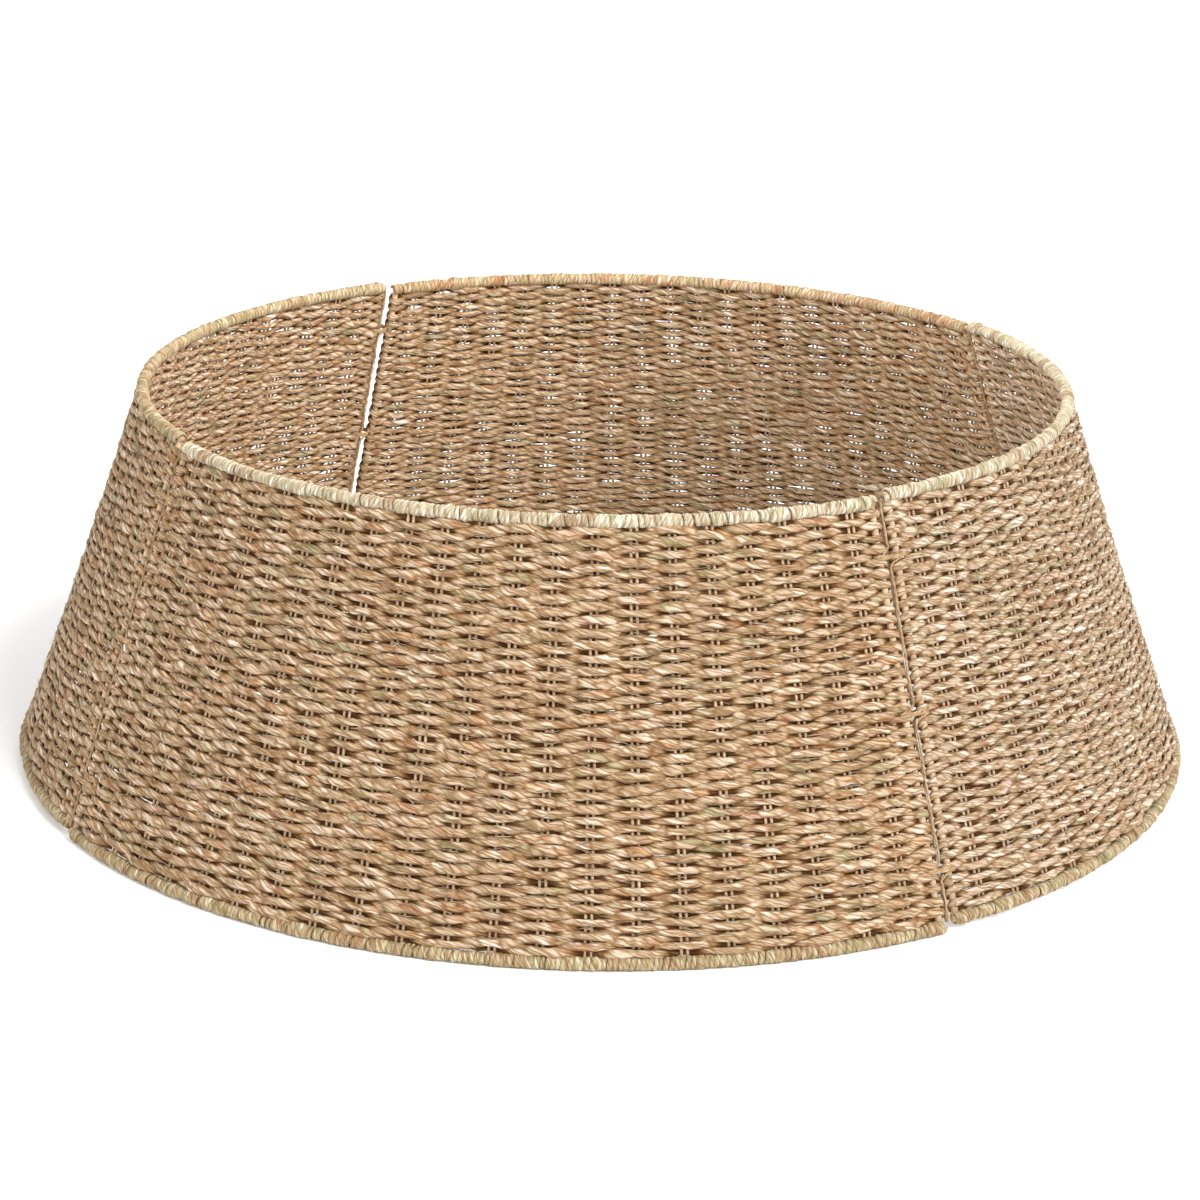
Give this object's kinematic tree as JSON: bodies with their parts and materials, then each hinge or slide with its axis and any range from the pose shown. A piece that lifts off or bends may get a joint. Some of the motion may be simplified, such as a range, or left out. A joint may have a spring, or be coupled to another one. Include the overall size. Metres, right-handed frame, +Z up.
{
  "type": "christmas tree collar",
  "caption": "Round tapered tree collar of curved woven panels on wire frames, laced at the edges so that the ring opens round a trunk and hides a tree stand",
  "frame": {"origin": "on the floor, under the centre of the ring", "axes": "+Z up, front panel faces -Y, right panel faces +X"},
  "size_m": [0.71, 0.7118, 0.2258],
  "materials": {
    "frame_wire": "dull lacquered wire",
    "woven_seagrass": "dry twisted seagrass strand, matt",
    "rim_wrap": "dry seagrass strand wound tightly, matt",
    "lacing_twine": "pale twisted twine, matt"
  },
  "bodies": {
    "front_panel": {"front_frame": "frame_wire", "front_weave": "woven_seagrass", "front_bottom_binding": "rim_wrap", "front_top_binding": "rim_wrap", "front_right_lacing": "lacing_twine", "front_left_lacing": "lacing_twine"},
    "right_panel": {"right_frame": "frame_wire", "right_weave": "woven_seagrass", "right_bottom_binding": "rim_wrap", "right_top_binding": "rim_wrap", "back_right_lacing": "lacing_twine"},
    "back_panel": {"back_frame": "frame_wire", "back_weave": "woven_seagrass", "back_bottom_binding": "rim_wrap", "back_top_binding": "rim_wrap"},
    "left_panel": {"left_frame": "frame_wire", "left_weave": "woven_seagrass", "left_bottom_binding": "rim_wrap", "left_top_binding": "rim_wrap", "back_left_closing_loops": "lacing_twine"}
  },
  "joints": [
    {"name": "front_right_seam", "type": "hinge", "parent": "front_panel", "child": "right_panel", "pos_m": [0.25322, -0.2453, 0.0034], "axis": [0.2348, -0.2348, -0.9433], "range_deg": [0, 100]},
    {"name": "front_left_seam", "type": "hinge", "parent": "front_panel", "child": "left_panel", "pos_m": [-0.25322, -0.2453, 0.0034], "axis": [0.2348, 0.2348, 0.9433], "range_deg": [0, 100]},
    {"name": "back_right_seam", "type": "hinge", "parent": "right_panel", "child": "back_panel", "pos_m": [0.2453, 0.25322, 0.0034], "axis": [0.2348, 0.2348, -0.9433], "range_deg": [0, 100]}
  ]
}
